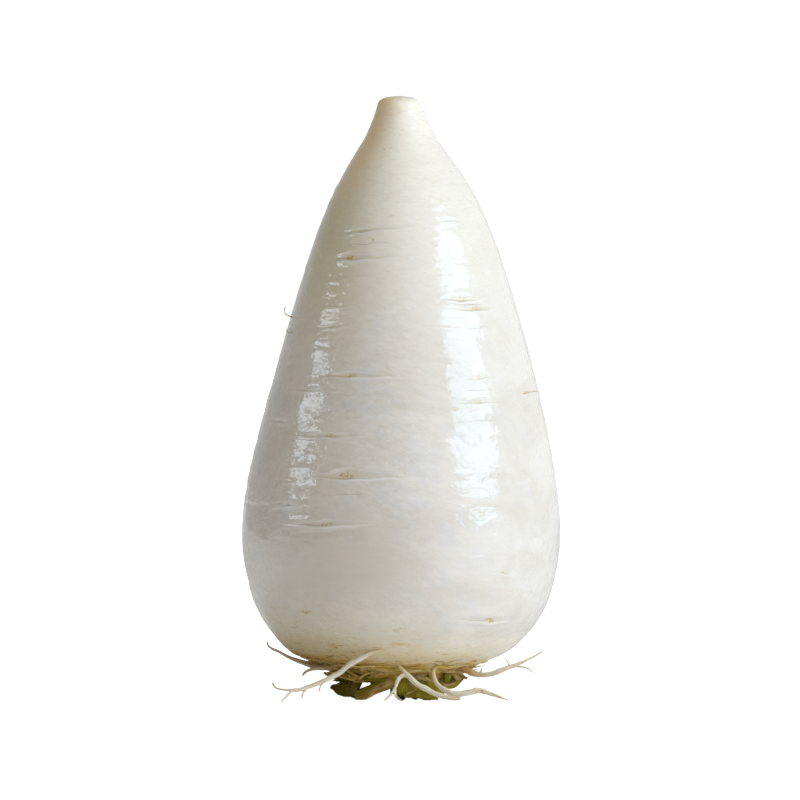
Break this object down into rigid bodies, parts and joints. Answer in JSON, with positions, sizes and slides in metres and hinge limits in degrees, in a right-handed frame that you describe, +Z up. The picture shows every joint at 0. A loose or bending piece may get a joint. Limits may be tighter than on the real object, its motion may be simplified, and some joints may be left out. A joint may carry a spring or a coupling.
{
  "type": "daikon radish",
  "caption": "Short, teardrop-shaped daikon radish standing on its cut leaf stalks, with a cut root tip at the top and side rootlets at the crown.",
  "frame": {"origin": "in the plane of the cut leaf stalks that the radish stands on, under the middle of the root", "axes": "+Z up, from the leafy crown at the bottom to the cut root tip at the top; -Y towards the viewer of the front; +X to that viewer's right"},
  "size_m": [0.12, 0.12, 0.2254],
  "materials": {
    "root_skin": "wet, glossy white radish skin with faint creases and tan scars",
    "leaf_stalk": "cut, drying leaf stalk, olive green to tan",
    "leaf_stalk_dark": "wilted leaf stalk, dark olive green",
    "rootlet": "dry, fibrous cream-white rootlet"
  },
  "bodies": {
    "root": {"root": "root_skin", "leaf_stalk_front": "leaf_stalk", "leaf_stalk_front_right": "leaf_stalk", "leaf_stalk_right_short": "leaf_stalk", "leaf_stalk_back_right": "leaf_stalk", "leaf_stalk_back": "leaf_stalk_dark", "leaf_stalk_back_short": "leaf_stalk", "leaf_stalk_back_left": "leaf_stalk_dark", "leaf_stalk_left_curled": "leaf_stalk_dark", "leaf_stalk_front_left": "leaf_stalk", "heart_stalks": "leaf_stalk", "rootlet_front_left_long": "rootlet", "rootlet_left_upper": "rootlet", "rootlet_left_small": "rootlet", "rootlet_front_centre": "rootlet", "rootlet_front_right": "rootlet", "rootlet_right_upper": "rootlet", "rootlet_back_right": "rootlet", "rootlet_back_left": "rootlet", "rootlet_back_small": "rootlet", "hair_left_hooked": "rootlet", "hair_left_low": "rootlet", "hair_right": "rootlet"}
  },
  "joints": []
}
